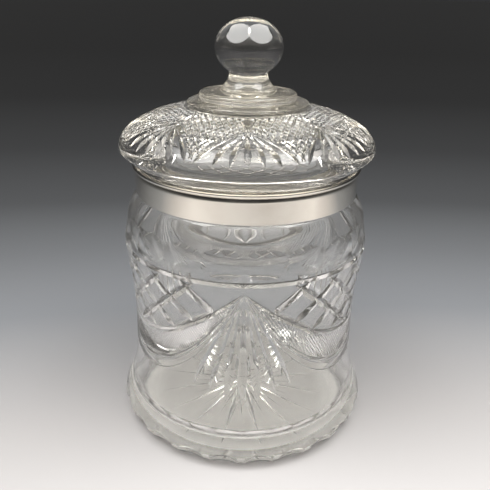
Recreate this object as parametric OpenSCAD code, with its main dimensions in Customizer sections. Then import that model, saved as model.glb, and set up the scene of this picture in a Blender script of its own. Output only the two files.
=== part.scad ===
// Biscuit jar in cut glass, with a silver collar and a lift-off glass lid.
// Millimetres, +Z up. The origin is on the table, at the centre of the foot.

/* [Vessel] */
// Radius of the edge that the jar stands on
foot_r = 70.5; // [67:0.5:74]
// Radius of the flared skirt at its widest
skirt_r = 75.8; // [74:0.2:79]
// Height of the skirt's widest ring above the table
skirt_z = 9; // [7:0.5:12]
// Height over which the skirt's flare dies away
flare_h = 15.6; // [12:0.4:19]
// Radius of the waist
waist_r = 66.2; // [64.5:0.1:68]
// Height of the waist
waist_z = 72; // [62:1:82]
// Radius of the shoulder
shoulder_r = 69.9; // [68.5:0.1:73]
// Height of the shoulder
shoulder_z = 116; // [114:0.5:120]
// Height where the shoulder meets the neck
neck_z = 140; // [137:0.5:143]
// Outer radius of the glass neck
neck_r = 60.3; // [59.5:0.1:61]
// Thickness of the glass round the mouth
neck_wall = 4.3; // [3.5:0.1:5.5]
// Height of the neck above the shoulder
neck_h = 14.9; // [12:0.1:18]
// Thickness of the glass wall
wall = 4.5; // [3.5:0.1:5.5]
// Thickness of the glass floor
floor_t = 9; // [7:0.5:12]
// Radius inside, where the wall meets the floor
floor_fillet = 12; // [6:1:16]

/* [Cutting on the vessel] */
// Width of the cut ring under the shoulder
groove_w = 3; // [2:0.2:5]
// Depth of the cut ring
groove_d = 1.1; // [0.6:0.1:1.6]
// How far under the shoulder the ring lies
groove_drop = 4.2; // [3:0.2:6]
// Number of thumbprints round the shoulder
print_count = 20; // [12:2:24]
// Depth of a thumbprint
print_d = 1.1; // [0.8:0.1:1.8]
// Radius of a thumbprint's hollow
print_r = 50; // [30:1:70]
// How far the thumbprints lie above the shoulder
print_rise = 6; // [4:0.5:8]
// Number of palms round the body
palm_count = 3; // [3:1:5]
// Number of blades in a palm
blade_count = 7; // [5:2:9]
// Angle round the jar between a palm's outermost tips
palm_spread = 46; // [36:2:60]
// Height of a palm's middle blade
blade_h = 68.5; // [55:0.5:72]
// Depth of a blade at its widest
blade_d = 1.9; // [1:0.1:2.2]
// Half angle of the mitre wheel
mitre_half = 52; // [45:1:60]
// How far a palm's tip lies under the shoulder
palm_drop = 9; // [7:0.5:13]
// Height of the lowest point of the line that hangs between two palms
swag_z = 71; // [66:0.5:80]
// Height of the lowest point of the line under it
ribbon_z = 53.5; // [48:0.5:62]
// Depth of the hanging lines
swag_d = 0.7; // [0.4:0.1:1.2]
// Depth of the crossed mitres between the palms
cross_d = 1.7; // [1:0.1:2]
// Number of crossed mitres each way between two palms
cross_count = 5; // [3:1:6]
// Distance between crossed mitres
cross_pitch = 13.5; // [11:0.5:17]
// Slope of the crossed mitres
cross_slope = 40; // [36:1:44]

/* [Cutting under the foot] */
// Number of long rays in the star
star_count = 16; // [12:2:24]
// Length of a long ray
star_len = 52; // [44:1:58]
// Depth of the star at its centre
star_d = 2.6; // [1.5:0.1:3.2]
// Number of scallops round the foot
scallop_count = 24; // [18:2:30]
// Depth of a scallop
scallop_d = 1.2; // [0.6:0.1:1.6]
// Radius of the wheel that cuts a scallop
scallop_r = 22; // [16:1:30]

/* [Silver collar] */
// Thickness of the plaster between glass and silver
bedding_t = 1.2; // [0.8:0.1:1.6]
// Thickness of the silver
silver_t = 0.7; // [0.5:0.1:1]
// Radius of the bead round the collar's top
bead_r = 1.4; // [1:0.1:1.8]
// How far the silver runs in over the mouth's edge, short of the bore
lip_back = 0.8; // [0.4:0.1:1.4]
// Thickness of the silver over the mouth's edge
lip_t = 1.1; // [0.8:0.1:1.5]

/* [Lid] */
// Radius of the lid
lid_r = 70; // [68:0.5:72]
// Height of the dome above the lid's edge
dome_h = 22.5; // [20:0.5:26]
// Thickness of the lid's upright edge
edge_h = 2.2; // [1.5:0.1:3.5]
// Height of the sloped underside between seat and edge
under_h = 7; // [5:0.2:9]
// How far the seat reaches past the silver
seat_over = 0.4; // [0.1:0.1:1.4]
// Thickness of the dome at its middle
dome_t = 6; // [5:0.2:7]
// Radial gap between the locating flange and the mouth
flange_gap = 0.8; // [0.4:0.1:1.5]
// Depth of the locating flange under the seat
flange_h = 8; // [6:0.5:12]
// Thickness of the locating flange
flange_t = 4.2; // [3:0.2:5]
// Gap between the lid's seat and the silver
seat_gap = 0.3; // [0.2:0.05:0.5]
// Number of fans round the lid
fan_count = 8; // [6:1:9]
// Number of blades in a fan
fan_blades = 7; // [5:2:7]
// Radius at which a fan's blades meet
fan_in_r = 49; // [46:0.5:52]
// Radius at which a fan's middle blade ends
fan_out_r = 68.6; // [66:0.2:69]
// Angle between a fan's outermost blades, seen from the lid's centre
fan_spread = 42; // [36:1:42]
// Depth of a fan's blades
fan_d = 1.4; // [1:0.1:2]
// Distance between the crossed lines between the fans
lattice_pitch = 6; // [3:0.5:9]
// Depth of the crossed lines
lattice_d = 0.6; // [0.3:0.1:0.9]

/* [Knob] */
// Radius of the lower ring that the knob stands on
ring_r = 33; // [30:0.5:35]
// Height of the lower ring
ring_h = 2.8; // [2:0.1:3.6]
// Radius of the upper disc
disc_r = 26.5; // [24:0.5:28]
// Height of the upper disc
disc_h = 4.2; // [3.2:0.1:5]
// Height of the step between ring and disc
step_h = 0.6; // [0.4:0.1:1]
// Radius of the stem where it leaves the disc
stem_foot_r = 17; // [14:0.5:20]
// Radius of the stem at its narrowest
stem_r = 10.3; // [9:0.1:11.5]
// Height of the stem above the disc
stem_h = 10; // [8:0.2:12]
// Radius of the ball
ball_r = 18; // [16:0.2:20]
// Height of the ball above its middle, less than its radius
ball_h = 14.8; // [13:0.2:16]
// Depth of the facets on the ball
facet_d = 1.1; // [0.6:0.1:1.4]
// Number of facets round the ball's upper half
facet_count = 8; // [6:1:10]
// Height of the facets' middle, as an angle up the ball
facet_rise = 38; // [30:1:48]

/* [Hidden] */
$fn = 96;
glass_tone = [0.86, 0.89, 0.88, 0.45];
silver_tone = [0.86, 0.85, 0.83];
plaster_tone = [0.9, 0.88, 0.82];
lift = 3; // how far a cutting wheel stands out of the glass
lap = 0.3; // how far one stretch of a mitre runs into the next
leaf_t = 0.74; // where along its length a blade is widest
swag_power = 1.9;
ribbon_power = 2.35;
flare_reach = 1.67; // height of the flare's finely turned part, in flare heights
inner_turn = 0.55; // how far up from waist to shoulder the inside is straight
neck_power = 1.55; // how square the shoulder's turn is
flare_power = 1.35;
hub_grow = 1.1; // how far the hub reaches past the point where the rays' edges meet
hub_r = star_d / (star_d / star_len + tan(180 / star_count) / tan(mitre_half));
hub_flat_r = hub_r / 5;
mouth_r = neck_r - neck_wall;
mouth_z = neck_z + neck_h;
palm_z = shoulder_z - palm_drop;
swag_span = 360 / palm_count;
groove_z = shoulder_z - groove_drop;
cross_drop = cross_pitch / cos(cross_slope);
band_in_r = neck_r + bedding_t;
band_r = band_in_r + silver_t;
seat_r = band_r + seat_over;
lip_z = mouth_z + lip_t;
seat_z = lip_z + seat_gap;
edge_low_z = seat_z + under_h;
edge_z = edge_low_z + edge_h;
pad_z = edge_z + dome_h * sqrt(1 - pow(ring_r / lid_r, 2));
flange_r = mouth_r - flange_gap;
flange_in_r = flange_r - flange_t;
disc_top_z = pad_z + ring_h + step_h + disc_h;
ball_low = ball_h * sqrt(1 - pow(stem_r / ball_r, 2)); // from the ball's middle down to the stem
ball_z = disc_top_z + stem_h + ball_low;

function ease(t) = t <= 0 ? 0 : t >= 1 ? 1 : t * t * (3 - 2 * t);

// Outer radius of the vessel at a height
function body_r(z) =
    z <= skirt_z ? foot_r + (skirt_r - foot_r) * sin(90 * z / skirt_z)
    : z <= shoulder_z ? waist_r
        + (skirt_r - waist_r) * exp(-pow((z - skirt_z) / flare_h, flare_power))
        + (shoulder_r - waist_r) * ease((z - waist_z) / (shoulder_z - waist_z))
    : z < neck_z ? neck_r + (shoulder_r - neck_r)
        * pow(1 - pow((z - shoulder_z) / (neck_z - shoulder_z), neck_power), 1 / neck_power)
    : neck_r;

// Slope of the vessel's side at a height, in degrees from upright
function body_lean(z) = atan((body_r(z - 0.5) - body_r(z + 0.5)) / 1);

// Height of the lid's dome at a radius
function dome_z(r) = edge_z + dome_h * sqrt(1 - pow(r / lid_r, 2));

// Slope of the dome at a radius, in degrees from level
function dome_lean(r) = atan(dome_z(r - 0.5) - dome_z(r + 0.5));

// A point under the vessel's side, and the way out of the glass there
function in_body(angle, z, d) = let(r = body_r(z) - d * cos(body_lean(z)))
    [r * cos(angle), r * sin(angle), z - d * sin(body_lean(z))];
function out_of_body(angle, z) = let(lean = body_lean(z))
    [cos(lean) * cos(angle), cos(lean) * sin(angle), sin(lean)];

// A point under the dome, and the way out of the glass there
function in_dome(x, y, d) = let(r = norm([x, y]), k = 1 - d * sin(dome_lean(r)) / r)
    [x * k, y * k, dome_z(r) - d * cos(dome_lean(r))];
function out_of_dome(x, y) = let(r = norm([x, y]), lean = dome_lean(r))
    [sin(lean) * x / r, sin(lean) * y / r, cos(lean)];

// Height of a line that hangs between palms, at an angle from the palm
function hang_z(low, power, angle) = low + (palm_z - low) * pow(abs(2 * angle / swag_span - 1), power);

// Width along the side from the middle of a swag to where a falling mitre meets the swag's line
function cross_end(h, x) =
    h - x * tan(cross_slope) <= hang_z(swag_z, swag_power, swag_span / 2 + x / waist_r * 180 / PI)
    ? x : cross_end(h, x + 0.5);

function heights(z0, z1, steps) = [for (i = [0:steps]) z0 + (z1 - z0) * i / steps];

// A V-shaped mitre along X, centred, cut from above into the face at z = 0
module mitre(len, depth, half = mitre_half) {
    w = (depth + lift) * tan(half);
    translate([-len / 2, 0, 0])
        rotate([90, 0, 90])
            linear_extrude(height = len)
                polygon([[0, -depth], [w, lift], [-w, lift]]);
}

// A mitre whose bottom runs straight from p0 to p1, and which opens the way that up points
module mitre_between(p0, p1, up) {
    long = norm(p1 - p0);
    x = (p1 - p0) / long;
    y = cross(up, x) / norm(cross(up, x));
    z = cross(x, y);
    w = lift * tan(mitre_half);
    multmatrix([
        [x[0], y[0], z[0], p0[0]],
        [x[1], y[1], z[1], p0[1]],
        [x[2], y[2], z[2], p0[2]],
        [0, 0, 0, 1]
    ])
        translate([-lap, 0, 0])
            rotate([90, 0, 90])
                linear_extrude(height = long + 2 * lap)
                    polygon([[0, 0], [w, lift], [-w, lift]]);
}

// A mitre in straight stretches along stations of [angle, z, depth] on the vessel
module body_mitre(stations) {
    for (i = [1:len(stations) - 1]) {
        a = stations[i - 1];
        b = stations[i];
        mitre_between(
            in_body(a[0], a[1], a[2]), in_body(b[0], b[1], b[2]),
            out_of_body((a[0] + b[0]) / 2, (a[1] + b[1]) / 2)
        );
    }
}

// The same along stations of [x, y, depth] on the dome
module dome_mitre(stations) {
    for (i = [1:len(stations) - 1]) {
        a = stations[i - 1];
        b = stations[i];
        mitre_between(
            in_dome(a[0], a[1], a[2]), in_dome(b[0], b[1], b[2]),
            out_of_dome((a[0] + b[0]) / 2, (a[1] + b[1]) / 2)
        );
    }
}

// Puts children, made for a level face, on the vessel's side at an angle and a height
module on_body(angle, z) {
    rotate([0, 0, angle])
        translate([body_r(z), 0, z])
            rotate([0, 90 - body_lean(z), 0])
                children();
}

module vessel_blank() {
    side = concat(
        [for (z = heights(0, skirt_z, 3)) [body_r(z), z]],
        [for (z = heights(skirt_z + flare_h / 6, skirt_z + flare_h * flare_reach, 6)) [body_r(z), z]],
        [for (z = heights(waist_z - 20, groove_z - groove_w / 2, 4)) [body_r(z), z]],
        [[body_r(groove_z) - groove_d, groove_z]],
        [for (z = heights(groove_z + groove_w / 2, neck_z, 10)) [body_r(z), z]]
    );
    low = floor_t + floor_fillet;
    inside = concat(
        [for (z = heights(neck_z, shoulder_z, 6)) [max(mouth_r, body_r(z) - wall), z]],
        [for (z = heights(waist_z + (shoulder_z - waist_z) * inner_turn, low, 6)) [body_r(z) - wall, z]],
        [for (a = [22.5:22.5:90]) [
            body_r(low) - wall - floor_fillet * (1 - cos(a)),
            low - floor_fillet * sin(a)
        ]]
    );
    rotate_extrude()
        polygon(concat(
            [[0, 0]], side, [[neck_r, mouth_z], [mouth_r, mouth_z]], inside, [[0, floor_t]]
        ));
}

// Oval hollows: a level cylinder cut into the round shoulder leaves a pointed oval
module thumbprints() {
    z = shoulder_z + print_rise;
    for (i = [0:print_count - 1])
        on_body((i + 0.5) * 360 / print_count, z)
            translate([0, 0, print_r - print_d])
                rotate([90, 0, 0])
                    cylinder(r = print_r, h = print_r, center = true);
}

// Palms of leaf-shaped blades that spread down from a point
module palms() {
    mid = (blade_count - 1) / 2;
    for (p = [0:palm_count - 1], b = [0:blade_count - 1]) {
        s = (b - mid) / mid;
        foot_z = palm_z - blade_h * (1 - 0.146 * s * s);
        body_mitre([for (leaf = [[0, 0], [leaf_t / 2, 0.55], [leaf_t, 1], [1, 0]]) [
            -90 + p * swag_span + s * palm_spread / 2 * leaf[0],
            palm_z + (foot_z - palm_z) * leaf[0],
            blade_d * leaf[1]
        ]]);
    }
}

// Two lines that hang from palm to palm
module swags() {
    for (p = [0:palm_count - 1], line = [[swag_z, swag_power, 1], [ribbon_z, ribbon_power, 0.7]])
        body_mitre([for (a = heights(3, swag_span - 3, 9)) [
            -90 + p * swag_span + a, hang_z(line[0], line[1], a), swag_d * line[2]
        ]]);
}

// Mitres that cross between the ring and the upper line; the lowest meet where that line hangs lowest
module crossed_mitres() {
    for (p = [0:palm_count - 1], side = [-1, 1], k = [0:cross_count - 1]) {
        h = swag_z + k * cross_drop;
        x0 = (h - groove_z + groove_w / 2) / tan(cross_slope);
        x1 = cross_end(h, x0);
        steps = max(1, ceil((x1 - x0) / 14));
        body_mitre([for (i = [0:steps]) let(x = x0 + (x1 - x0) * i / steps) [
            -90 + (p + 0.5) * swag_span + side * x / waist_r * 180 / PI,
            h - x * tan(cross_slope),
            cross_d * (i == 0 || i == steps ? 0.3 : 1)
        ]]);
    }
}

// Rays under the foot that fade as they run out, and the hollow hub where they meet
module star() {
    for (i = [0:star_count - 1])
        rotate([0, 0, (i + 0.5) * 360 / star_count])
            translate([star_len / 2, 0, 0])
                rotate([180, 0, 0])
                    rotate([0, -atan(star_d / star_len), 0])
                        mitre(star_len, star_d / 2);
    cylinder(r1 = hub_grow * hub_r, r2 = hub_flat_r, h = hub_grow * star_d);
}

module scallops() {
    for (i = [0:scallop_count - 1])
        rotate([0, 0, (i + 0.5) * 360 / scallop_count])
            translate([foot_r - scallop_d, 0, 0])
                rotate([0, atan((skirt_r - foot_r) / skirt_z), 0])
                    translate([scallop_r, 0, -scallop_r])
                        cylinder(r = scallop_r, h = 2 * scallop_r + skirt_z);
}

module jar_body() {
    color(glass_tone)
        difference() {
            vessel_blank();
            thumbprints();
            palms();
            swags();
            crossed_mitres();
            star();
            scallops();
        }
}

module collar_bedding() {
    color(plaster_tone)
        rotate_extrude()
            translate([neck_r, neck_z])
                square([bedding_t, neck_h]);
}

module collar_band() {
    color(silver_tone)
        rotate_extrude()
            translate([band_in_r, neck_z])
                square([silver_t, neck_h]);
}

module collar_rim() {
    color(silver_tone)
        rotate_extrude() {
            translate([mouth_r + lip_back, mouth_z])
                square([band_r - mouth_r - lip_back, lip_t]);
            difference() {
                translate([band_r, lip_z - bead_r])
                    circle(r = bead_r, $fn = 32);
                translate([0, mouth_z - 2 * bead_r])
                    square([band_r, 4 * bead_r]);
            }
        }
}

module dome_blank() {
    bow = dome_h - dome_t;
    top = [for (a = heights(0, acos(ring_r / lid_r), 16)) [lid_r * cos(a), edge_z + dome_h * sin(a)]];
    hollow = [for (a = heights(90, 0, 12)) [flange_in_r * cos(a), edge_z + bow * sin(a)]];
    rotate_extrude()
        polygon(concat(
            hollow,
            [[flange_in_r, seat_z - flange_h], [flange_r, seat_z - flange_h], [flange_r, seat_z]],
            [[seat_r, seat_z], [lid_r - 0.8, edge_low_z], [lid_r, edge_low_z + 0.8]],
            top,
            [[0, pad_z]]
        ));
}

// Fans of leaf-shaped blades round the lid's edge
module fans() {
    mid = (fan_blades - 1) / 2;
    for (f = [0:fan_count - 1], b = [0:fan_blades - 1]) {
        s = (b - mid) / mid;
        tip = fan_out_r * [sin(s * fan_spread / 2), cos(s * fan_spread / 2)];
        rotate([0, 0, 180 + f * 360 / fan_count])
            dome_mitre([for (leaf = [[0, 0], [leaf_t, 1], [1, 0]]) [
                tip[0] * leaf[0],
                fan_in_r + (tip[1] - fan_in_r) * leaf[0],
                fan_d * leaf[1] * (1 - 0.3 * abs(s))
            ]]);
    }
}

// Crossed lines between the fans, each set along a fan's outermost blade
module lattice() {
    turn = 360 / fan_count;
    tip = fan_out_r * [sin(fan_spread / 2), cos(fan_spread / 2)] - [0, fan_in_r];
    way = tip / norm(tip);
    in_r = ring_r + 0.8;
    // where the next fan's border stands
    edge = fan_in_r * [sin(turn), cos(turn)];
    far = fan_out_r * [sin(turn - fan_spread / 2), cos(turn - fan_spread / 2)] - edge;
    for (k = [1:5]) {
        start = [0, fan_in_r - k * lattice_pitch / way[0]];
        inner = start[1] > in_r ? 0
            : -start[1] * way[1] + sqrt(pow(start[1] * way[1], 2) - start[1] * start[1] + in_r * in_r);
        gap = edge - start;
        reach = (gap[0] * far[1] - gap[1] * far[0]) / (way[0] * far[1] - way[1] * far[0]);
        if (reach - inner > 4 * lattice_d)
            for (f = [0:fan_count - 1], side = [0, 1])
                rotate([0, 0, 180 + f * turn])
                    mirror([side, 0, 0])
                        dome_mitre([for (t = heights(inner + 0.5, reach - 1.5, ceil((reach - inner) / 15))) [
                            start[0] + way[0] * t, start[1] + way[1] * t, lattice_d
                        ]]);
    }
}

module lid_dome() {
    color(glass_tone)
        difference() {
            dome_blank();
            fans();
            lattice();
        }
}

module lid_merese() {
    ring_top = pad_z + ring_h;
    disc_low = ring_top + step_h;
    round_r = disc_h * 0.4;
    color(glass_tone)
        rotate_extrude()
            polygon([
                [0, pad_z],
                [ring_r, pad_z],
                [ring_r, ring_top - 0.8],
                [ring_r - 0.8, ring_top],
                [disc_r - 2, ring_top],
                [disc_r - 2, disc_low],
                [disc_r - round_r * 0.3, disc_low],
                [disc_r, disc_low + round_r * 0.7],
                [disc_r, disc_top_z - round_r],
                [disc_r - round_r * 0.3, disc_top_z - round_r * 0.3],
                [disc_r - round_r, disc_top_z],
                [0, disc_top_z]
            ]);
}

// Flat facets round the ball's upper half, each square to the ball's side at its middle
module ball_facets() {
    reach = sqrt(pow(ball_r * cos(facet_rise), 2) + pow(ball_h * sin(facet_rise), 2));
    for (i = [0:facet_count - 1])
        rotate([0, 0, -90 + (i + 0.5) * 360 / facet_count])
            rotate([0, 90 - facet_rise, 0])
                translate([-ball_r, -ball_r, reach - facet_d])
                    cube([2 * ball_r, 2 * ball_r, ball_r]);
}

module lid_knob() {
    stem = [for (t = heights(0, 1, 8)) [
        stem_r + (stem_foot_r - stem_r) * pow(1 - t, 2.2),
        disc_top_z + stem_h * t
    ]];
    ball = [for (a = heights(5 - acos(stem_r / ball_r), 90, 24)) [ball_r * cos(a), ball_z + ball_h * sin(a)]];
    color(glass_tone)
        difference() {
            rotate_extrude()
                polygon(concat([[0, disc_top_z]], stem, ball));
            translate([0, 0, ball_z])
                ball_facets();
        }
}

jar_body();
collar_bedding();
collar_band();
collar_rim();
lid_dome();
lid_merese();
lid_knob();
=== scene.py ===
# Cut-glass biscuit jar with a silver collar and a lift-off domed lid.
# The jar's sizes are in millimetres and its angles in degrees; mm turns them to metres for Blender.
# The studio's and the camera's places are in metres.
import math
import bpy
from mathutils import Matrix, Vector


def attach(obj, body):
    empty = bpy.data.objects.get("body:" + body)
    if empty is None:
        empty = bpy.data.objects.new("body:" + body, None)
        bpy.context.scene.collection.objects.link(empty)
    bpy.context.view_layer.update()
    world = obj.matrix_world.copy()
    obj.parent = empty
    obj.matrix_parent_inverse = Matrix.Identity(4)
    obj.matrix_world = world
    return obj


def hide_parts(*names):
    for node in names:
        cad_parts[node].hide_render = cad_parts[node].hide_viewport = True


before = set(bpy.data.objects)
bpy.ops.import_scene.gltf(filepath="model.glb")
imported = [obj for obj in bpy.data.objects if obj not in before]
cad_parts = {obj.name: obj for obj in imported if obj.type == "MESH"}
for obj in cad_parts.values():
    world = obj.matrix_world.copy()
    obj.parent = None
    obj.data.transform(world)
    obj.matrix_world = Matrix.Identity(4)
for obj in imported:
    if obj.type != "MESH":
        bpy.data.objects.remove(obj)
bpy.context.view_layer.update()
mm = 0.001
print("frame loaded")


def pickOnly(obj):
    bpy.ops.object.select_all(action="DESELECT")
    obj.select_set(True)
    bpy.context.view_layer.objects.active = obj


def named(name):
    obj = bpy.context.object
    obj.name = obj.data.name = name
    return obj


def turned(name, outline, steps=256):
    # a plane merged to one vertex, extruded along the outline and spun round the axis
    bpy.ops.object.select_all(action="DESELECT")
    bpy.ops.mesh.primitive_plane_add(size=mm, location=(0, 0, 0))
    obj = named(name)
    bpy.ops.object.mode_set(mode="EDIT")
    bpy.ops.mesh.merge(type="CENTER")
    points = [Vector((r * mm, 0, z * mm)) for r, z in outline]
    bpy.ops.transform.translate(value=points[0])
    for here, there in zip(points, points[1:]):
        bpy.ops.mesh.extrude_vertices_move(TRANSFORM_OT_translate={"value": there - here})
    bpy.ops.mesh.select_all(action="SELECT")
    bpy.ops.mesh.spin(steps=steps, angle=math.tau, center=(0, 0, 0), axis=(0, 0, 1))
    bpy.ops.mesh.select_all(action="SELECT")
    bpy.ops.mesh.remove_doubles(threshold=2e-6)
    bpy.ops.mesh.normals_make_consistent(inside=False)
    bpy.ops.object.mode_set(mode="OBJECT")
    return obj


def cut(target, *wheels):
    for wheel in wheels:
        before = len(target.data.vertices)
        pickOnly(target)
        work = target.modifiers.new("cut", "BOOLEAN")
        work.operation = "DIFFERENCE"
        work.solver = "MANIFOLD"
        work.object = wheel
        bpy.ops.object.modifier_apply(modifier=work.name)
        print("  cut", wheel.name, before, "to", len(target.data.vertices), "vertices")
        bpy.data.meshes.remove(wheel.data)


def joined(name, parts):
    pickOnly(parts[0])
    for part in parts:
        part.select_set(True)
    bpy.ops.object.join()
    return named(name)


def polish(obj, sharpFrom=15):
    pickOnly(obj)
    bpy.ops.object.transform_apply(location=True, rotation=True, scale=True)
    bpy.ops.object.shade_smooth_by_angle(angle=math.radians(sharpFrom))
    print(" ", obj.name, sum(len(face.vertices) - 2 for face in obj.data.polygons), "triangles")


def dress(obj, finish):
    # the cuts leave empty slots behind
    obj.data.materials.clear()
    obj.data.materials.append(finish)
    for face in obj.data.polygons:
        face.material_index = 0


def span(start, end, steps):
    return [start + (end - start) * i / steps for i in range(steps + 1)]


mitreHalf = 52  # half angle of the mitre wheel
bladeSkim, lineSkim = 0.05, 0.04  # how far above the glass a blade and a line start and end


# The section that a wheel leaves, as (offset, height) from left to right over the face
def vee(depth):
    lift = 0.3 + 0.5 * max(depth, 0)
    wide = (depth + lift) * math.tan(math.radians(mitreHalf))
    return [(-wide, lift), (0, -depth), (wide, lift)]


def hollow(halfWide, depth):
    lift = 0.5 + 0.8 * depth
    bowl = [(u * halfWide, depth * (u * u - 1)) for u in span(-1.2, 1.2, 10)]
    return [(-1.2 * halfWide, lift)] + bowl + [(1.2 * halfWide, lift)]


def shell(name, verts, faces):
    mesh = bpy.data.meshes.new(name)
    mesh.from_pydata(verts, [], faces)
    obj = bpy.data.objects.new(name, mesh)
    bpy.context.collection.objects.link(obj)
    return obj


def wheelCuts(name, face, strokes):
    # A cutting wheel's path over a curved face, which no primitive follows: each stroke is a closed
    # shell, and face(a, b, height) gives a point over the glass.
    verts, faces = [], []
    for stroke in strokes:
        first = len(verts)
        count = len(stroke[0][2])
        for i, (a, b, section) in enumerate(stroke):
            a0, b0, _ = stroke[max(i - 1, 0)]
            a1, b1, _ = stroke[min(i + 1, len(stroke) - 1)]
            run = math.hypot(a1 - a0, b1 - b0)
            sideA, sideB = (b1 - b0) / run, (a0 - a1) / run
            verts += [face(a + off * sideA, b + off * sideB, high) * mm for off, high in section]
            if i:
                low = first + (i - 1) * count
                for j in range(count):
                    k = (j + 1) % count
                    faces.append((low + j, low + k, low + count + k, low + count + j))
        faces.append(tuple(range(first, first + count)))
        faces.append(tuple(range(first + (len(stroke) - 1) * count, first + len(stroke) * count)))
    obj = shell(name, verts, faces)
    pickOnly(obj)
    bpy.ops.object.mode_set(mode="EDIT")
    bpy.ops.mesh.select_all(action="SELECT")
    bpy.ops.mesh.normals_make_consistent(inside=False)
    bpy.ops.object.mode_set(mode="OBJECT")
    return obj


def leaf(t, widest):
    # depth along a blade: it swells to its widest place and runs out in a point
    if t < widest:
        return (t / widest) ** 0.85
    return max(1 - ((t - widest) / (1 - widest)) ** 1.7, 0)


def blade(deep, widest, t):
    return vee(deep * leaf(t, widest) - bladeSkim)


vessel = {
    "footRadius": 70.5, "skirtRadius": 75.8, "skirtHeight": 9, "flareHeight": 15.6, "flarePower": 1.35,
    "waistRadius": 66.2, "waistHeight": 72, "shoulderRadius": 69.9, "shoulderHeight": 116,
    "neckRadius": 60.3, "neckHeight": 140, "neckPower": 1.55, "mouthRadius": 56, "mouthHeight": 154.9,
    "wall": 4.5, "floor": 9, "floorFillet": 12,
    "grooveHeight": 111.8, "grooveWide": 3, "grooveDeep": 1.1,
    # heights where the spacing of the outline's points changes
    "flareTop": 38, "neckFoot": 134,
    # the foot's ring lies a hair higher than its middle
    "middleRadius": 56, "ringFrom": 57, "ringTo": 69.6, "footRise": 0.08,
    "clear": 0.03,  # air between the glass and what is bedded on it
}


def ease(t):
    t = min(max(t, 0), 1)
    return t * t * (3 - 2 * t)


def bodyRadius(z):
    v = vessel
    if z <= v["skirtHeight"]:
        rise = math.sin(math.pi / 2 * max(z, 0) / v["skirtHeight"])
        return v["footRadius"] + (v["skirtRadius"] - v["footRadius"]) * rise
    if z <= v["shoulderHeight"]:
        flare = math.exp(-(((z - v["skirtHeight"]) / v["flareHeight"]) ** v["flarePower"]))
        swell = ease((z - v["waistHeight"]) / (v["shoulderHeight"] - v["waistHeight"]))
        flared = (v["skirtRadius"] - v["waistRadius"]) * flare
        swollen = (v["shoulderRadius"] - v["waistRadius"]) * swell
        return v["waistRadius"] + flared + swollen
    if z < v["neckHeight"]:
        t = (z - v["shoulderHeight"]) / (v["neckHeight"] - v["shoulderHeight"])
        bulge = (1 - t ** v["neckPower"]) ** (1 / v["neckPower"])
        return v["neckRadius"] + (v["shoulderRadius"] - v["neckRadius"]) * bulge
    return v["neckRadius"]


unroll = 67.5  # radius at which widths round the body are measured


def onBody(across, z, high):
    # across runs round the body from the front, to the right
    turn = across / unroll - math.pi / 2
    slope = (bodyRadius(z + 0.4) - bodyRadius(z - 0.4)) / 0.8
    size = math.hypot(1, slope)
    r = bodyRadius(z) + high / size
    return Vector((r * math.cos(turn), r * math.sin(turn), z - high * slope / size))


def alongBody(start, end, steps):
    return [(bodyRadius(z), z) for z in span(start, end, steps)]


def vesselOutline():
    # from the foot's middle up the outside, and down the inside to the floor's middle
    v = vessel
    low = v["floor"] + v["floorFillet"]
    half = v["grooveWide"] / 2
    neck = v["neckRadius"] - v["clear"]
    top = v["mouthHeight"] - v["clear"]
    bore = v["mouthRadius"]
    under = [(r * v["middleRadius"], 0) for r in (0, 0.25, 0.5, 0.75, 1)]
    under += [(v["ringFrom"], v["footRise"]), (v["ringTo"], v["footRise"])]
    outside = alongBody(0, v["skirtHeight"], 8)
    outside += alongBody(v["skirtHeight"], v["flareTop"], 22)[1:]
    outside += alongBody(v["flareTop"], v["grooveHeight"] - half, 26)[1:]
    outside += [(bodyRadius(v["grooveHeight"]) - v["grooveDeep"], v["grooveHeight"])]
    outside += alongBody(v["grooveHeight"] + half, v["neckFoot"], 18)
    for drop in (4.5, 3.2, 2, 1.2, 0.6, 0.2):
        outside.append((bodyRadius(v["neckHeight"] - drop), v["neckHeight"] - drop))
    outside += [(neck, v["neckHeight"]), (neck, top - 0.4), (neck - 0.4, top)]
    inside = [(bore + 0.5, top), (bore + 0.15, top - 0.15), (bore, top - 0.5)]
    inside += [(bore, v["neckHeight"] + rise) for rise in (8, 1)]
    inside += [(max(bore, r - v["wall"]), z) for r, z in alongBody(v["neckHeight"] - 1.5, 114, 16)]
    inside += [(r - v["wall"], z) for r, z in alongBody(110, low, 24)]
    edge = bodyRadius(low) - v["wall"]
    for a in span(10, 90, 8):
        turn = math.radians(a)
        inside.append((edge - v["floorFillet"] * (1 - math.cos(turn)), low - v["floorFillet"] * math.sin(turn)))
    inside += [(r, v["floor"]) for r in (44, 30, 16, 0)]
    return under + outside + inside


swags = {
    "palms": 3, "palmTop": 107,
    # each line hangs from palm to palm: lowest height, power of its curve, depth
    "upper": (71, 1.9, 0.85), "lower": (53.5, 2.35, 0.6), "edge": (46.5, 2.5, 0.3),
    # the fades are shares of a cut's length, the gaps are kept below and above the cuts
    "lineEnd": 0.05, "lineFade": 0.04,
    "fluteEnd": 5, "fluteGap": 0.7, "fluteBow": 0.16, "fluteDeep": 0.5,
    "hatchPitch": 1.75, "hatchDeep": 0.5, "hatchLean": 57, "hatchFade": 0.12,
    "hatchEnd": 2, "hatchGaps": (0.9, 1.3),
    "crossSlope": 0.84, "crossReach": 62, "crossHeights": (71.8, 88.6, 106.2, 123.9, 141.5),
    "crossDeep": 1.75, "crossFade": 0.14, "crossGaps": (0.6, 1.2),
}
palmShare = math.tau * unroll / swags["palms"]  # the width that a palm and its swag take up


def swagHeight(line, across):
    low, power, _ = swags[line]
    away = abs((across % palmShare) / palmShare - 0.5) * 2  # 0 midway between palms, 1 on a palm
    return low + (swags["palmTop"] - low) * away ** power


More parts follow.
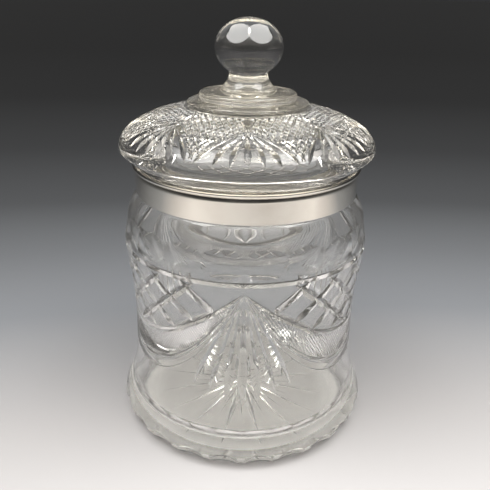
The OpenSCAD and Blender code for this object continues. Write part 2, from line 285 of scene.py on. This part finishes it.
def runs(points, keep):
    # the stretches of a path that lie on their part of the pattern
    found, now = [], []
    for point in points:
        if keep(*point):
            now.append(point)
        elif now:
            found.append(now)
            now = []
    if now:
        found.append(now)
    return [run for run in found if len(run) > 3]


def thinned(run, step):
    # every so many points of a path, and always its last
    return run[: -1 : step] + [run[-1]]


def faded(path, deep, fade):
    # a mitre of even depth that fades in and out over the given share of its length
    last = len(path) - 1
    line = []
    for i, (a, b) in enumerate(path):
        share = min(1, (i / last) / fade, (1 - i / last) / fade)
        line.append((a, b, vee(deep * share - lineSkim)))
    return line


def cutLines(glass):
    for line in ("upper", "lower", "edge"):
        strokes = []
        for k in range(swags["palms"]):
            start, end = k * palmShare + swags["lineEnd"], (k + 1) * palmShare - swags["lineEnd"]
            path = [(x, swagHeight(line, x)) for x in span(start, end, 90)]
            strokes.append(faded(path, swags[line][2], swags["lineFade"]))
        cut(glass, wheelCuts(line + "Swag", onBody, strokes))


def cutFlutes(glass):
    # a polished hollow between the lower line and the edge line
    strokes = []
    for k in range(swags["palms"]):
        stroke = []
        for x in span(k * palmShare + swags["fluteEnd"], (k + 1) * palmShare - swags["fluteEnd"], 60):
            high, low = swagHeight("lower", x), swagHeight("edge", x)
            slope = swagHeight("lower", x + 0.5) - swagHeight("lower", x - 0.5)
            wide = max((high - low) / 2 * math.cos(math.atan(slope)) - swags["fluteGap"], 0.15)
            section = hollow(wide, min(swags["fluteBow"] * wide, swags["fluteDeep"]))
            stroke.append((x, (high + low) / 2, section))
        strokes.append(stroke)
    cut(glass, wheelCuts("flutes", onBody, strokes))


def cutHatching(glass):
    # fine lines that fill the ribbon between the upper and the lower line
    lean = math.tan(math.radians(swags["hatchLean"]))
    below, above = swags["hatchGaps"]
    beside = 40  # lines start this far outside the share, as they lean
    strokes = []
    for k in range(swags["palms"]):
        start = k * palmShare
        end = start + palmShare

        def inRibbon(x, z):
            if not start + swags["hatchEnd"] < x < end - swags["hatchEnd"]:
                return False
            return swagHeight("lower", x) + below < z < swagHeight("upper", x) - above

        for x0 in span(start - beside, end + beside, int((palmShare + 2 * beside) / swags["hatchPitch"])):
            path = [(x0 - (z - 80) / lean, z) for z in span(105, 50, 110)]
            for run in runs(path, inRibbon):
                line = thinned(run, max(1, len(run) // 6))
                strokes.append(faded(line, swags["hatchDeep"], swags["hatchFade"]))
    cut(glass, wheelCuts("hatching", onBody, strokes))


def cutCrossed(glass):
    # crossed mitres between the groove and the upper line
    reach = swags["crossReach"]
    below, above = swags["crossGaps"]

    def inSwag(x, z):
        return swagHeight("upper", x) + below < z < vessel["grooveHeight"] - above

    for way, name in ((-1, "crossedLeft"), (1, "crossedRight")):
        strokes = []
        for k in range(swags["palms"]):
            middle = (k + 0.5) * palmShare
            for height in swags["crossHeights"]:
                path = [(middle + way * x, height - swags["crossSlope"] * x) for x in span(-reach, reach, 248)]
                for run in runs(path, inSwag):
                    strokes.append(faded(thinned(run, 3), swags["crossDeep"], swags["crossFade"]))
        cut(glass, wheelCuts(name, onBody, strokes))


palm = {
    "deep": 1.95, "widest": 0.74,
    # the tips are (angle from the palm's middle, height)
    "tips": ((-23, 47.5), (-15.6, 42), (-8, 38.5), (0, 37.5), (8, 38.5), (15.6, 42), (23, 47.5)),
}


def cutPalms(glass):
    # blades meet at the palm's top, so neighbours aren't cut in the same batch
    for batch in range(3):
        strokes = []
        for k in range(swags["palms"]):
            for angle, foot in palm["tips"][batch::3]:
                far = math.radians(angle) * unroll
                drop = foot - swags["palmTop"]
                strokes.append([
                    (k * palmShare + far * t, swags["palmTop"] + drop * t, blade(palm["deep"], palm["widest"], t))
                    for t in span(0.004, 1, 30)
                ])
        cut(glass, wheelCuts("palms%d" % batch, onBody, strokes))


prints = {"count": 20, "height": 122, "halfHigh": 7.3, "deep": 1.1, "reach": 0.567}  # reach in steps


def cutPrints(glass):
    step = math.tau * unroll / prints["count"]
    # neighbours lap, so every second one is cut first
    for batch in (0, 1):
        strokes = []
        for i in range(batch, prints["count"], 2):
            stroke = []
            for t in span(-0.985, 0.985, 26):
                swell = 1 - t * t
                across = (i + 0.5 + t * prints["reach"]) * step
                section = hollow(prints["halfHigh"] * math.sqrt(swell), prints["deep"] * swell)
                stroke.append((across, prints["height"], section))
            strokes.append(stroke)
        cut(glass, wheelCuts("thumbprints%d" % batch, onBody, strokes))


foot = {
    "rays": 16, "rayLong": 52, "rayDeep": 2.6, "fineLong": 34, "fineDeep": 1.5,
    "scallops": 24, "scallopDeep": 1.2, "scallopRadius": 22, "scallopLong": 50,
}


def starWheel(name, rays, long, deep, turn):
    # mitres that meet under the foot's middle and run out to their tips
    hub = deep / (deep / long + math.tan(math.pi / rays) / math.tan(math.radians(mitreHalf)))
    hub /= math.cos(math.pi / rays)
    grow = 1.1
    verts = [(0, 0, deep), (0, 0, -2)]
    for i in range(2 * rays):
        angle = (i / 2 + turn) * math.tau / rays
        r = (hub if i % 2 else long) * grow
        verts += [(r * math.cos(angle), r * math.sin(angle), h) for h in (deep * (1 - grow), -2)]
    faces = []
    for i in range(2 * rays):
        a, b = 2 + 2 * i, 2 + 2 * ((i + 1) % (2 * rays))
        faces += [(0, a, b), (a, a + 1, b + 1, b), (1, b + 1, a + 1)]
    return shell(name, [Vector(v) * mm for v in verts], faces)


def cutFoot(glass):
    cut(glass, starWheel("star", foot["rays"], foot["rayLong"], foot["rayDeep"], 0.5))
    cut(glass, starWheel("fineRays", foot["rays"], foot["fineLong"], foot["fineDeep"], 0))
    v = vessel
    tilt = math.atan((v["skirtRadius"] - v["footRadius"]) / v["skirtHeight"])
    bpy.ops.object.select_all(action="DESELECT")
    radius = foot["scallopRadius"] * mm
    bpy.ops.mesh.primitive_cylinder_add(vertices=128, radius=radius, depth=foot["scallopLong"] * mm)
    wheel = named("scallops")
    bpy.ops.object.mode_set(mode="EDIT")
    bpy.ops.transform.translate(value=(radius, 0, 0))
    bpy.ops.object.mode_set(mode="OBJECT")
    blank = wheel.data.copy()
    parts = []
    for i in range(foot["scallops"]):
        turn = Matrix.Rotation((i + 0.5) * math.tau / foot["scallops"], 4, "Z")
        inset = Matrix.Translation(((v["footRadius"] - foot["scallopDeep"]) * mm, 0, 0))
        place = inset @ Matrix.Rotation(tilt, 4, "Y")
        part = bpy.data.objects.new("scallop", blank.copy())
        part.data.transform(turn @ place)
        bpy.context.collection.objects.link(part)
        parts.append(part)
    bpy.data.objects.remove(wheel)
    cut(glass, joined("scallops", parts))


def makeVessel():
    glass = turned("vesselGlass", vesselOutline())
    cutPrints(glass)
    cutLines(glass)
    cutFlutes(glass)
    cutHatching(glass)
    cutCrossed(glass)
    cutPalms(glass)
    cutFoot(glass)
    polish(glass)
    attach(glass, "jar")
    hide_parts("jar_body")
    return glass


collar = {
    "bandIn": 61.5, "bandOut": 62.2, "low": 140, "top": 154.9, "lip": 156, "lipIn": 56.8, "bead": 1.4,
    # the band draws in under the bead: (below the band's top, inwards)
    "cove": ((4.4, 0), (3.8, 0.03), (3.2, 0.1), (2.6, 0.22), (2, 0.36), (1.7, 0.42), (0.02, 0.42)),
}


def makeCollar():
    c = collar
    outline = [(c["bandIn"], c["low"] + 0.1), (c["bandIn"] + 0.25, c["low"]), (c["bandOut"], c["low"])]
    outline += [(c["bandOut"], c["low"] + rise) for rise in (4, 8)]
    outline += [(c["bandOut"] - inwards, c["top"] - below) for below, inwards in c["cove"]]
    outline += [(c["bandIn"], c["top"] - 0.02), outline[0]]
    band = turned("silverBand", outline, 192)
    polish(band, 30)
    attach(band, "jar")
    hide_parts("collar_band")
    outline = [(c["bandOut"] - 0.2, c["top"])]
    middle = c["lip"] - c["bead"]
    for a in span(-78, 90, 20):
        turn = math.radians(a)
        outline.append((c["bandOut"] + c["bead"] * math.cos(turn), middle + c["bead"] * math.sin(turn)))
    outline += [(c["bandOut"] - 1.5, c["lip"]), (c["lipIn"] + 0.4, c["lip"])]
    outline += [(c["lipIn"] + 0.1, c["lip"] - 0.12), (c["lipIn"], c["lip"] - 0.4)]
    outline += [(c["lipIn"], c["top"]), (c["bandOut"] - 0.2, c["top"])]
    rim = turned("silverRim", outline, 192)
    polish(rim, 30)
    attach(rim, "jar")
    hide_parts("collar_rim")
    return band, rim


lid = {
    "radius": 70, "edgeHeight": 165.5, "domeHigh": 22.5, "edgeLow": 163.3, "seatHeight": 156.3, "seatRadius": 62.6,
    "flangeOut": 55.2, "flangeIn": 51, "flangeLow": 148.3, "thick": 6, "padRadius": 33,
    "ringHigh": 2.8, "discRadius": 26.5, "discHigh": 4.2, "step": 0.6,
    "stemFoot": 17, "stemRadius": 10.3, "stemHigh": 10, "ballRadius": 18, "ballHigh": 14.8,
    "facets": 8, "facetDeep": 1.1, "facetRise": 38, "facetRadius": 8.5, "facetThick": 3,
    "fused": 0.03,  # the lid's pieces are fused, so each two lap a little
}
lid["padHeight"] = lid["edgeHeight"] + lid["domeHigh"] * math.sqrt(1 - (lid["padRadius"] / lid["radius"]) ** 2)
lid["discTop"] = lid["padHeight"] + lid["ringHigh"] + lid["step"] + lid["discHigh"]
lid["ballLow"] = lid["ballHigh"] * math.sqrt(1 - (lid["stemRadius"] / lid["ballRadius"]) ** 2)
lid["ballHeight"] = lid["discTop"] + lid["stemHigh"] + lid["ballLow"]


def domeHeight(r):
    return lid["edgeHeight"] + lid["domeHigh"] * math.sqrt(max(1 - (r / lid["radius"]) ** 2, 0.0001))


def onDome(x, y, high):
    r = min(math.hypot(x, y), lid["radius"] - 0.3)
    slope = (domeHeight(r + 0.2) - domeHeight(r - 0.2)) / 0.4
    size = math.hypot(1, slope)
    out = math.hypot(x, y) - high * slope / size
    turn = math.atan2(y, x)
    return Vector((out * math.cos(turn), out * math.sin(turn), domeHeight(r) + high / size))


fans = {
    "count": 8, "apex": 49.5,
    # the tips are (angle from the fan's middle, radius)
    "tips": ((-21, 68.6), (-13, 68.7), (-6.3, 69.0), (0.4, 69.1), (7, 69.0), (13.4, 68.7), (21, 68.6)),
    "deep": (0.95, 1.35, 1.4, 1.4, 1.4, 1.35, 0.95), "widest": (0.85, 0.8, 0.78, 0.78, 0.78, 0.8, 0.85),
    "latticePitch": 3.0, "latticeDeep": 0.62, "latticeFade": 0.07,
    "latticeIn": 33.8, "latticeOut": 67.6, "latticeGap": 0.8,
}


def around(points, turn):
    c, s = math.cos(turn), math.sin(turn)
    return [(x * c - y * s, x * s + y * c) + tuple(rest) for x, y, *rest in points]


def cutFans(glass):
    for batch in range(3):
        strokes = []
        for k in range(fans["count"]):
            for b in range(batch, len(fans["tips"]), 3):
                angle, far = fans["tips"][b]
                tipX, tipY = far * math.sin(math.radians(angle)), -far * math.cos(math.radians(angle))
                long = tipY + fans["apex"]
                line = [
                    (tipX * t, -fans["apex"] + long * t, blade(fans["deep"][b], fans["widest"][b], t))
                    for t in span(0.004, 1, 26)
                ]
                strokes.append(around(line, k * math.tau / fans["count"]))
        cut(glass, wheelCuts("fans%d" % batch, onDome, strokes))


def cutLattice(glass):
    # lines parallel to the outermost blades, in the fields between two fans and the pad
    sector = math.tau / fans["count"]
    angle, far = fans["tips"][-1]
    tip = Vector((far * math.sin(math.radians(angle)), far * math.cos(math.radians(angle))))
    apex = Vector((0, fans["apex"]))
    along = (tip - apex).normalized()
    nextApex = Vector((fans["apex"] * math.sin(sector), fans["apex"] * math.cos(sector)))
    nextTip = Vector((far * math.sin(sector - math.radians(angle)), far * math.cos(sector - math.radians(angle))))
    border = (nextTip - nextApex).normalized()
    drop = fans["latticePitch"] / along.x
    for way in (1, -1):
        strokes = []
        for i in range(1, 14):
            start = apex - Vector((0, drop * i))
            path = [start + along * s for s in span(0.3, 70, 230)]

            def inField(x, y):
                r, turn = math.hypot(x, y), math.atan2(x, y)
                inside = (x - nextApex.x) * border.y - (y - nextApex.y) * border.x
                onField = fans["latticeIn"] < r < fans["latticeOut"] and 0 <= turn <= sector
                return onField and inside < -fans["latticeGap"]

            for run in runs([(p.x, p.y) for p in path], inField):
                line = faded(thinned(run, 4), fans["latticeDeep"], fans["latticeFade"])
                line = [(way * x, -y, section) for x, y, section in line]
                strokes += [around(line, k * sector) for k in range(fans["count"])]
        cut(glass, wheelCuts("lattice" + ("Right" if way > 0 else "Left"), onDome, strokes))


def arc(centre, radius, high, start, end, steps):
    # points on an upright ellipse round the axis
    return [(radius * math.cos(a), centre + high * math.sin(a)) for a in span(start, end, steps)]


def domeOutline():
    d = lid
    soft = 0.6  # how far the flange's and the seat's corners are taken off
    crown = arc(d["edgeHeight"], d["flangeIn"], d["domeHigh"] - d["thick"], math.pi / 2, 0, 32)
    crown += [(d["flangeIn"], z) for z in (160, 155)]
    inner, outer, lowest, seat = d["flangeIn"], d["flangeOut"], d["flangeLow"], d["seatHeight"]
    flange = [(inner, lowest + soft), (inner + soft, lowest), (outer - soft, lowest), (outer, lowest + soft)]
    flange += [(outer, seat - 0.3), (outer + 0.3, seat), (d["seatRadius"] - soft, seat)]
    flange += [(d["seatRadius"], seat + 0.25)]
    for t in span(0.15, 1, 7):
        r = d["seatRadius"] + (d["radius"] - 1.0 - d["seatRadius"]) * t
        flange.append((r, seat + 0.25 + (d["edgeLow"] - soft - seat) * t + 0.5 * t * (1 - t)))
    edge = [(d["radius"] - back, d["edgeLow"] + rise) for back, rise in ((0.4, 0.1), (0.1, 0.5), (0, 1))]
    top = arc(d["edgeHeight"], d["radius"], d["domeHigh"], 0, math.acos(d["padRadius"] / d["radius"]), 54)
    pad = [(r, d["padHeight"] + d["fused"]) for r in (d["padRadius"] + 0.1, 22, 11, 0)]
    return crown + flange + edge + top[:-1] + pad


def makeDome():
    glass = turned("lidDome", domeOutline())
    cutFans(glass)
    cutLattice(glass)
    polish(glass)
    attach(glass, "lid")
    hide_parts("lid_dome")
    return glass


def rounded(corner, size, way, steps=6):
    # quarter round from one side of a corner to the other; way gives its first and last direction
    (r, z), (first, last) = corner, way
    turns = [math.radians(a) for a in span(first, last, steps)]
    return [(r + size * math.cos(turn), z + size * math.sin(turn)) for turn in turns]


def makeMerese():
    d = lid
    ringTop = d["padHeight"] + d["ringHigh"]
    discLow = ringTop + d["step"]
    outline = [(0, d["padHeight"]), (d["padRadius"] - 0.3, d["padHeight"]), (d["padRadius"], d["padHeight"] + 0.3)]
    outline += rounded((d["padRadius"] - 0.9, ringTop - 0.9), 0.9, (0, 90))
    waist = ((0.6, ringTop), (1.6, ringTop + 0.15), (2, ringTop + 0.35), (1.8, discLow - 0.05))
    outline += [(d["discRadius"] - back, z) for back, z in waist]
    outline += rounded((d["discRadius"] - 1.25, discLow + 1.25), 1.25, (-75, 90), 12)
    outline = outline[:-1] + rounded((d["discRadius"] - 1.6, d["discTop"] - 1.6), 1.6, (0, 90), 8)[1:]
    turnedRing = ((23.6, 0), (22.8, 0.2), (21.8, 0.3), (20.8, 0.2), (20, 0), (17.4, 0))
    outline += [(r, d["discTop"] - deep) for r, deep in turnedRing]
    outline += [(r, d["discTop"] + d["fused"]) for r in (16.6, 8, 0)]
    glass = turned("lidMerese", outline, 192)
    polish(glass, 25)
    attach(glass, "lid")
    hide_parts("lid_merese")
    return glass


def makeKnob():
    d = lid
    stem = [(0, d["discTop"])]
    for t in span(0, 0.9, 14):
        flare = (d["stemFoot"] - d["stemRadius"]) * (1 - t) ** 2.2
        stem.append((d["stemRadius"] + flare, d["discTop"] + d["stemHigh"] * t))
    first = -math.acos((d["stemRadius"] + 0.25) / d["ballRadius"])
    ball = arc(d["ballHeight"], d["ballRadius"], d["ballHigh"], first, math.pi / 2, 44)
    glass = turned("lidKnob", stem + ball[:-1] + [(0, ball[-1][1])], 128)
    rise = math.radians(d["facetRise"])
    reach = math.hypot(d["ballRadius"] * math.cos(rise), d["ballHigh"] * math.sin(rise)) - d["facetDeep"]
    thick = d["facetThick"] * mm
    parts = []
    for i in range(d["facets"]):
        bpy.ops.object.select_all(action="DESELECT")
        bpy.ops.mesh.primitive_cylinder_add(vertices=64, radius=d["facetRadius"] * mm, depth=thick)
        part = named("facet")
        turn = Matrix.Rotation(math.radians(-90 + (i + 0.5) * 360 / d["facets"]), 4, "Z")
        tip = Matrix.Rotation(math.pi / 2 - rise, 4, "Y")
        out = Matrix.Translation((0, 0, reach * mm + thick / 2))
        part.data.transform(Matrix.Translation((0, 0, d["ballHeight"] * mm)) @ turn @ tip @ out)
        parts.append(part)
    cut(glass, joined("facets", parts))
    polish(glass, 12)
    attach(glass, "lid")
    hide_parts("lid_knob")
    return glass


class Wire:
    # a node's output that can be added to and multiplied
    def __init__(self, sheet, socket):
        self.sheet, self.socket = sheet, socket

    def maths(self, kind, first, second):
        return self.sheet.node("ShaderNodeMath", {"operation": kind}, {0: first, 1: second})

    def __add__(self, other):
        return self.maths("ADD", self, other)

    def __mul__(self, other):
        return self.maths("MULTIPLY", self, other)

    __radd__, __rmul__ = __add__, __mul__


class Finish:
    # a material's node sheet
    def __init__(self, name, world=None):
        if world:
            self.owner = world
        else:
            self.owner = bpy.data.materials.new(name)
        self.owner.use_nodes = True
        self.tree = self.owner.node_tree
        self.tree.nodes.clear()

    def node(self, kind, settings=None, inputs=None, out=0):
        made = self.tree.nodes.new(kind)
        for key, value in (settings or {}).items():
            if key == "stops":
                ramp = made.color_ramp.elements
                while len(ramp) > 1:
                    ramp.remove(ramp[-1])
                for i, (place, colour) in enumerate(value):
                    stop = ramp[0] if i == 0 else ramp.new(place)
                    stop.position = place
                    stop.color = colour
            else:
                setattr(made, key, value)
        for key, value in (inputs or {}).items():
            if isinstance(value, Wire):
                self.tree.links.new(value.socket, made.inputs[key])
            else:
                made.inputs[key].default_value = value
        return Wire(self, made.outputs[out]) if made.outputs else None


def objectPlace(sheet, scale=(1, 1, 1)):
    place = sheet.node("ShaderNodeTexCoord", out="Object")
    return sheet.node("ShaderNodeMapping", {}, {"Vector": place, "Scale": scale})


def noise(sheet, place, scale, detail=3, rough=0.5):
    inputs = {"Vector": place, "Scale": scale, "Detail": detail, "Roughness": rough}
    return sheet.node("ShaderNodeTexNoise", {}, inputs)


def mapped(sheet, value, start, end, first, last, kind="LINEAR"):
    # first where value is at start, last where it is at end
    inputs = {"Value": value, "From Min": start, "From Max": end, "To Min": first, "To Max": last}
    return sheet.node("ShaderNodeMapRange", {"interpolation_type": kind}, inputs)


def bumped(sheet, height, strength, distance, **under):
    inputs = {"Height": height, "Strength": strength, "Distance": distance, **under}
    return sheet.node("ShaderNodeBump", {}, inputs)


def blended(sheet, share, first, second):
    return sheet.node("ShaderNodeMix", {"data_type": "RGBA"}, {0: share, 6: first, 7: second}, out=2)


def glassFinish(name, tint, look):
    # lead crystal: hand polish leaves faint ripples, handling leaves faint smears and haze
    sheet = Finish(name)
    place = objectPlace(sheet)
    ripple = noise(sheet, place, look["rippleScale"], 2)
    smear = noise(sheet, objectPlace(sheet, (1, 1, 0.4)), look["smearScale"], 4)
    worn = mapped(sheet, smear, 0.45, 0.8, 0.0, look["smear"])
    height = sheet.node("ShaderNodeSeparateXYZ", {}, {0: place}, out="Z")
    rested = mapped(sheet, height, 0.0002, 0.0006, 1.0, 0.0)  # rubbed by tables, up to half a millimetre
    glass = sheet.node("ShaderNodeBsdfPrincipled", {}, {
        "Base Color": tint, "Roughness": worn + rested * look["ground"], "IOR": look["ior"],
        "Transmission Weight": 1.0, "Normal": bumped(sheet, ripple, look["ripple"], 0.0003),
    })
    dust = sheet.node("ShaderNodeBsdfDiffuse", {}, {"Color": look["dust"]})
    both = sheet.node("ShaderNodeMixShader", {}, {0: smear * look["haze"], 1: glass, 2: dust})
    sheet.node("ShaderNodeOutputMaterial", {}, {"Surface": both})
    return sheet.owner


def silverFinish():
    sheet = Finish("polishedSilver")
    place = objectPlace(sheet)
    rippled = noise(sheet, objectPlace(sheet, (1, 1, 0.5)), 38, 2)
    fine = noise(sheet, objectPlace(sheet, (1, 1, 6)), 900, 3)
    smear = noise(sheet, place, 60, 5, 0.6)
    bump = bumped(sheet, rippled, 0.4, 0.0006)
    scratch = bumped(sheet, fine, 0.05, 0.00005, Normal=bump)
    tones = [(0.3, (0.80, 0.75, 0.67, 1)), (0.7, (0.90, 0.86, 0.78, 1))]
    shader = sheet.node("ShaderNodeBsdfPrincipled", {}, {
        "Base Color": sheet.node("ShaderNodeValToRGB", {"stops": tones}, {"Fac": smear}), "Metallic": 1.0,
        "Roughness": mapped(sheet, smear, 0.35, 0.75, 0.07, 0.2), "Normal": scratch,
    })
    sheet.node("ShaderNodeOutputMaterial", {}, {"Surface": shader})
    return sheet.owner


def plasterFinish():
    sheet = Finish("plasterBedding")
    place = objectPlace(sheet)
    grain = noise(sheet, place, 700, 5, 0.65)
    tones = [(0.3, (0.62, 0.58, 0.49, 1)), (0.7, (0.80, 0.77, 0.68, 1))]
    colour = sheet.node("ShaderNodeValToRGB", {"stops": tones}, {"Fac": noise(sheet, place, 90, 4)})
    bump = bumped(sheet, grain, 0.4, 0.0001)
    shader = sheet.node("ShaderNodeBsdfPrincipled", {}, {"Base Color": colour, "Roughness": 0.88, "Normal": bump})
    sheet.node("ShaderNodeOutputMaterial", {}, {"Surface": shader})
    return sheet.owner


studio = {
    # painted light: a pale pool of light painted on the floor: how much of a sideways distance counts, and its
    # tones by distance
    "paintedLightCentre": (0.13, -0.45), "paintedLightStretch": 0.6,
    "paintedLightTones": (
        (0, 0.3), (0.15, 0.36), (0.32, 0.46), (0.43, 0.32), (0.56, 0.16),
        (0.68, 0.1), (0.83, 0.045), (1.1, 0.0225), (1.6, 0.0107), (2.9, 0.0077),
    ),
    "paintedLightReach": 3.0, "coolUnder": 0.25, "paintedLightWarm": (1.02, 1, 1.02), "paintedLightCool": (0.95, 1, 1.09),
    "floorRadius": 60, "floorRise": 0.00003,
    # the light painted under the jar, where the glass casts its shade, holds full up to the first of its two
    # distances and is gone at the second
    "paintedLightUnderJar": (0.95, 0.95, 0.94, 1), "paintedLightUnderFull": 0.062, "paintedLightUnderEnd": 0.069,
    "softboxSize": 0.5, "softboxPlaces": ((-0.45, -0.15, 1.05), (0.45, -0.15, 1.05)), "softboxPower": 4,
    # the room from behind the jar (0) to in front of it (1)
    "roomRound": [
        (0.0, (0.035, 0.037, 0.042, 1)), (0.33, (0.055, 0.056, 0.06, 1)), (0.5, (0.45, 0.44, 0.41, 1)),
        (0.72, (1.2, 1.13, 1.0, 1)), (0.9, (1.1, 1.03, 0.92, 1)), (1.0, (0.5, 0.47, 0.42, 1)),
    ],
    "roomLow": (0.034, 0.034, 0.036, 1), "roomAbove": (4.9, 4.78, 4.55, 1),
    # where the low tone ends and the one above begins, as parts of a look upwards or backwards
    "lowEnds": (0.12, 0.42), "aboveBegins": (0.55, 0.97), "aboveEnds": (0.0, 0.4),
}


def floorWithPaintedLight():
    # painted light: a pale pool of light painted round the jar, falling off to charcoal as the photo's sweep does,
    # and painted light, palest, under the jar itself where the glass casts its shade
    sheet = Finish("floorPaintedLight")
    x, y = studio["paintedLightCentre"]
    narrow = studio["paintedLightStretch"]
    place = sheet.node("ShaderNodeTexCoord", out="Object")
    moved = sheet.node("ShaderNodeMapping", {}, {
        "Vector": place, "Location": (-x * narrow, -y, 0), "Scale": (narrow, 1, 0),
    })
    far = sheet.node("ShaderNodeVectorMath", {"operation": "LENGTH"}, {0: moved}, out="Value")
    stops = []
    for r, tone in studio["paintedLightTones"]:
        tint = studio["paintedLightWarm" if tone > studio["coolUnder"] else "paintedLightCool"]
        stops.append((r / studio["paintedLightReach"], tuple(tone * part for part in tint) + (1,)))
    # painted pool of light: the floor's colour falls off with distance from a point in front of the jar
    paintedPool = sheet.node("ShaderNodeValToRGB", {"stops": stops}, {"Fac": far * (1 / studio["paintedLightReach"])})
    away = sheet.node("ShaderNodeVectorMath", {"operation": "LENGTH"}, {0: place}, out="Value")
    # painted light under the jar, brightening the floor where the glass and the lid cast shade
    under = mapped(sheet, away, studio["paintedLightUnderFull"], studio["paintedLightUnderEnd"], 1.0, 0.0, "SMOOTHSTEP")
    shader = sheet.node("ShaderNodeBsdfPrincipled", {}, {
        "Base Color": blended(sheet, under, paintedPool, studio["paintedLightUnderJar"]),
        "Roughness": 0.75, "Specular IOR Level": 0.15,
        "Normal": bumped(sheet, noise(sheet, place, 900, 3), 0.03, 0.0001),
    })
    sheet.node("ShaderNodeOutputMaterial", {}, {"Surface": shader})
    return sheet.owner


def makeStudio():
    bpy.ops.object.select_all(action="DESELECT")
    bpy.ops.mesh.primitive_circle_add(
        vertices=96, radius=studio["floorRadius"], fill_type="NGON", location=(0, 0, studio["floorRise"]),
    )
    ground = named("floor")
    ground.data.materials.append(floorWithPaintedLight())
    for place in studio["softboxPlaces"]:
        light = bpy.data.lights.new("softbox", "AREA")
        light.size = studio["softboxSize"]
        light.energy = studio["softboxPower"]
        box = bpy.data.objects.new("softbox", light)
        bpy.context.collection.objects.link(box)
        box.location = place
        box.rotation_euler = (Vector((0, 0, 0.1)) - Vector(place)).to_track_quat("-Z", "Y").to_euler()
    world = bpy.data.worlds.new("room")
    bpy.context.scene.world = world
    sheet = Finish("room", world)
    # a bright room in front and overhead, a dark one behind and near the horizon
    look = sheet.node("ShaderNodeTexCoord", out="Generated")
    towards = sheet.node("ShaderNodeSeparateXYZ", {}, {0: look}, out="Y")
    up = sheet.node("ShaderNodeSeparateXYZ", {}, {0: look}, out="Z")
    front = sheet.node("ShaderNodeValToRGB", {"stops": studio["roomRound"]}, {"Fac": towards * -0.5 + 0.5})
    above = mapped(sheet, up, *studio["aboveBegins"], 0.0, 1.0, "SMOOTHSTEP")
    above = above * mapped(sheet, towards, *studio["aboveEnds"], 1.0, 0.0, "SMOOTHSTEP")
    risen = mapped(sheet, up, *studio["lowEnds"], 0.0, 1.0, "SMOOTHSTEP")
    tone = blended(sheet, above, blended(sheet, risen, studio["roomLow"], front), studio["roomAbove"])
    sky = sheet.node("ShaderNodeBackground", {}, {"Color": tone, "Strength": 1.0})
    sheet.node("ShaderNodeOutputWorld", {}, {"Surface": sky})


camera = {"place": (0, -0.3124, 0.2405), "pitch": 23.83, "yaw": 0.01, "roll": 1.15, "lens": 41.8}


def makeCamera():
    data = bpy.data.cameras.new("camera")
    data.lens = camera["lens"]
    data.sensor_width = 36
    data.clip_start, data.clip_end = 0.01, 200
    eye = bpy.data.objects.new("camera", data)
    bpy.context.collection.objects.link(eye)
    yaw, pitch, roll = (math.radians(camera[key]) for key in ("yaw", "pitch", "roll"))
    turn = Matrix.Rotation(yaw, 4, "Z") @ Matrix.Rotation(math.pi / 2 - pitch, 4, "X")
    eye.matrix_world = Matrix.Translation(camera["place"]) @ (turn @ Matrix.Rotation(roll, 4, "Z"))
    bpy.context.scene.camera = eye


makeCamera()
makeStudio()
print("studio made")

vesselLook = {
    "ior": 1.54, "rippleScale": 45, "ripple": 0.05, "smearScale": 30, "smear": 0.02,
    "ground": 0.1, "dust": (0.93, 0.92, 0.89, 1), "haze": 0.05,
}
lidLook = dict(vesselLook, ground=0, haze=0.02)
vesselGlassFinish = glassFinish("vesselCrystal", (0.995, 0.992, 0.983, 1), vesselLook)
lidGlassFinish = glassFinish("lidCrystal", (0.995, 0.98, 0.94, 1), lidLook)
silver = silverFinish()

dress(makeVessel(), vesselGlassFinish)
print("vessel made")
for piece in makeCollar():
    dress(piece, silver)
dress(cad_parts["collar_bedding"], plasterFinish())
print("collar made")
for piece in (makeDome(), makeMerese(), makeKnob()):
    dress(piece, lidGlassFinish)
print("lid made")

scene = bpy.context.scene
scene.view_settings.view_transform = "Standard"
scene.cycles.max_bounces = 24
scene.cycles.transmission_bounces = 24
scene.cycles.glossy_bounces = 8
